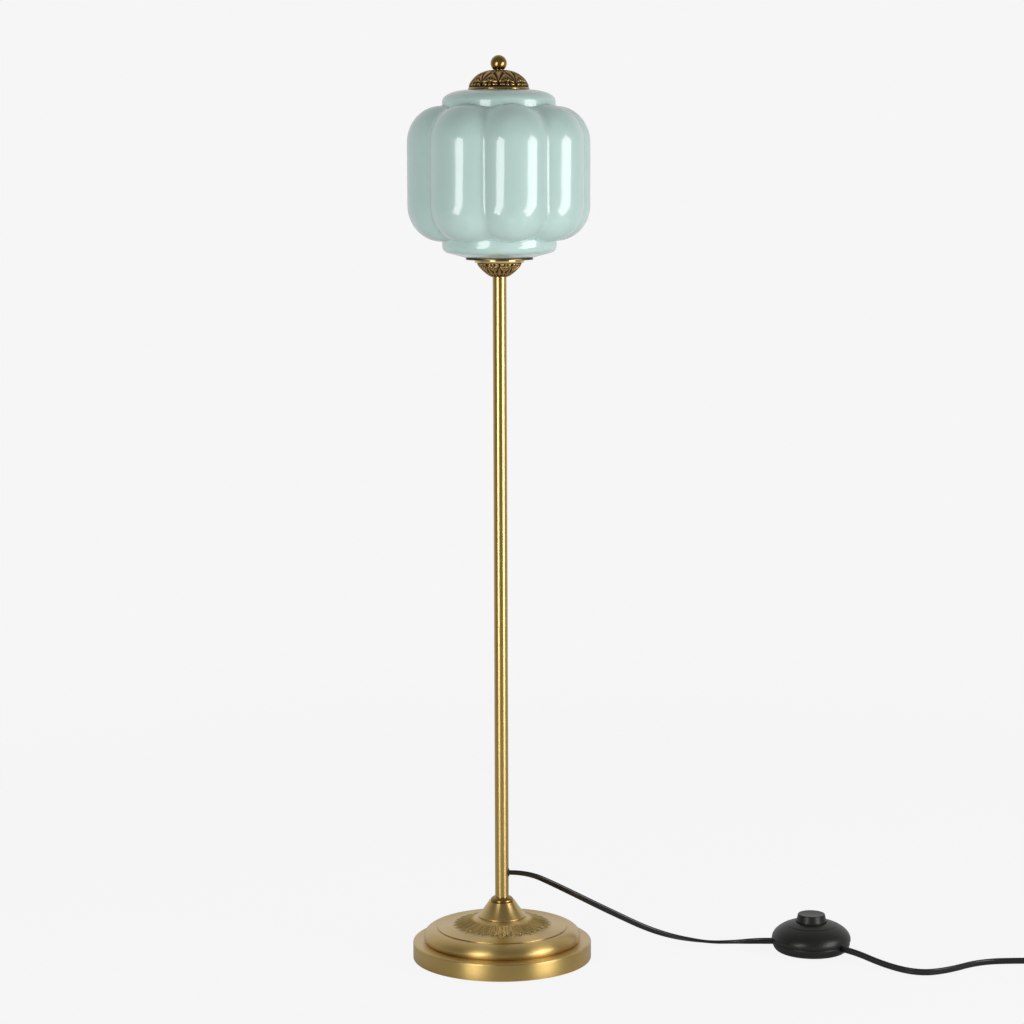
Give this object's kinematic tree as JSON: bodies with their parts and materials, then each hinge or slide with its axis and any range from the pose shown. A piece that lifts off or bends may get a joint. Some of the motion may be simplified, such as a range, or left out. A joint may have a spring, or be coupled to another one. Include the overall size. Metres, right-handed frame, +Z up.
{
  "type": "glass floor lamp",
  "caption": "Slim brass floor lamp with a lobed opal blue-green glass shade, embossed cap and cup, stepped round base and a flex with a round black foot switch.",
  "frame": {"origin": "middle of the base's underside, on the floor and on the pole's axis", "axes": "+Z up along the pole, +X to the side where the cord leaves the pole, -Y to the front"},
  "size_m": [1.0526, 0.25, 1.253],
  "materials": {
    "satin_brass": "satin brushed, lacquered",
    "bright_brass": "polished",
    "antique_brass": "embossed, with a dark patina rubbed back on the high spots",
    "aged_brass": "turned, darkened",
    "opal_glass": "opal blue-green, glossy",
    "clear_glass": "frosted",
    "plated_steel": "zinc plated",
    "cast_iron": "as cast",
    "black_rubber": "matte",
    "black_plastic": "fine satin",
    "black_flex": "smooth flexible sheath",
    "phenolic": "moulded",
    "contact_brass": "plain",
    "card": "pressed board",
    "aluminium": "rolled"
  },
  "bodies": {
    "lamp": {"base_pad": "black_rubber", "base_weight": "cast_iron", "base_shell": "satin_brass", "base_cone": "satin_brass", "seating_ring": "aged_brass", "tie_rod": "plated_steel", "base_washer": "plated_steel", "base_nut": "plated_steel", "lower_pole": "satin_brass", "pole_foot_bush": "plated_steel", "pole_bushes": "plated_steel", "joint_nipple": "plated_steel", "upper_pole": "satin_brass", "cord_grommet": "black_rubber", "cup": "antique_brass", "cup_spacer": "plated_steel", "gallery_ring": "bright_brass", "shade_plate": "bright_brass", "top_nipple": "plated_steel", "low_seal": "black_rubber", "glass_shade": "opal_glass", "harp_saddle": "plated_steel", "harp_sleeves": "plated_steel", "harp": "plated_steel", "harp_stud": "plated_steel", "holder_cap": "bright_brass", "holder_shell": "bright_brass", "holder_puck": "phenolic", "holder_screws": "contact_brass", "holder_liner": "card", "screw_shell": "contact_brass", "centre_contact": "contact_brass", "bulb_contact": "contact_brass", "bulb_cap": "aluminium", "bulb_glass": "clear_glass", "top_seal": "black_rubber", "top_cap": "antique_brass", "cord_in_pole": "black_flex", "cord_to_switch": "black_flex", "cord_from_switch": "black_flex", "cord_coil": "black_flex", "cord_tail": "black_flex", "switch_base": "black_plastic", "switch_cover": "black_plastic", "switch_feet": "black_rubber", "case_screws": "plated_steel", "button_spring": "plated_steel", "contact_block": "phenolic", "fixed_contacts": "contact_brass", "switch_terminals": "contact_brass", "cord_clamps": "plated_steel", "clamp_screws": "plated_steel", "plug_boot": "black_rubber", "plug_body": "black_plastic", "plug_pins": "plated_steel"},
    "finial_lift": {"finial_collar": "aged_brass"},
    "finial_turn": {"finial_ball": "aged_brass", "finial_insert": "plated_steel"},
    "foot_button": {"switch_button": "black_plastic", "contact_bridge": "contact_brass"}
  },
  "joints": [
    {"name": "finial_rise", "type": "slide", "parent": "lamp", "child": "finial_lift", "axis": [0, 0, 1], "range_m": [0, 0.006]},
    {"name": "finial_unscrew", "type": "hinge", "parent": "finial_lift", "child": "finial_turn", "pos_m": [0, 0, 1.24], "axis": [0, 0, 1], "range_deg": [0, 2165]},
    {"name": "foot_press", "type": "slide", "parent": "lamp", "child": "foot_button", "axis": [0, 0, -1], "range_m": [0, 0.005], "stiffness_N_per_m": 800, "springref_m": -0.01, "deforming": ["button_spring"]}
  ],
  "couplings": [
    {"joint": "finial_unscrew", "follows": "finial_rise", "rad_per_m": 6283.2}
  ]
}
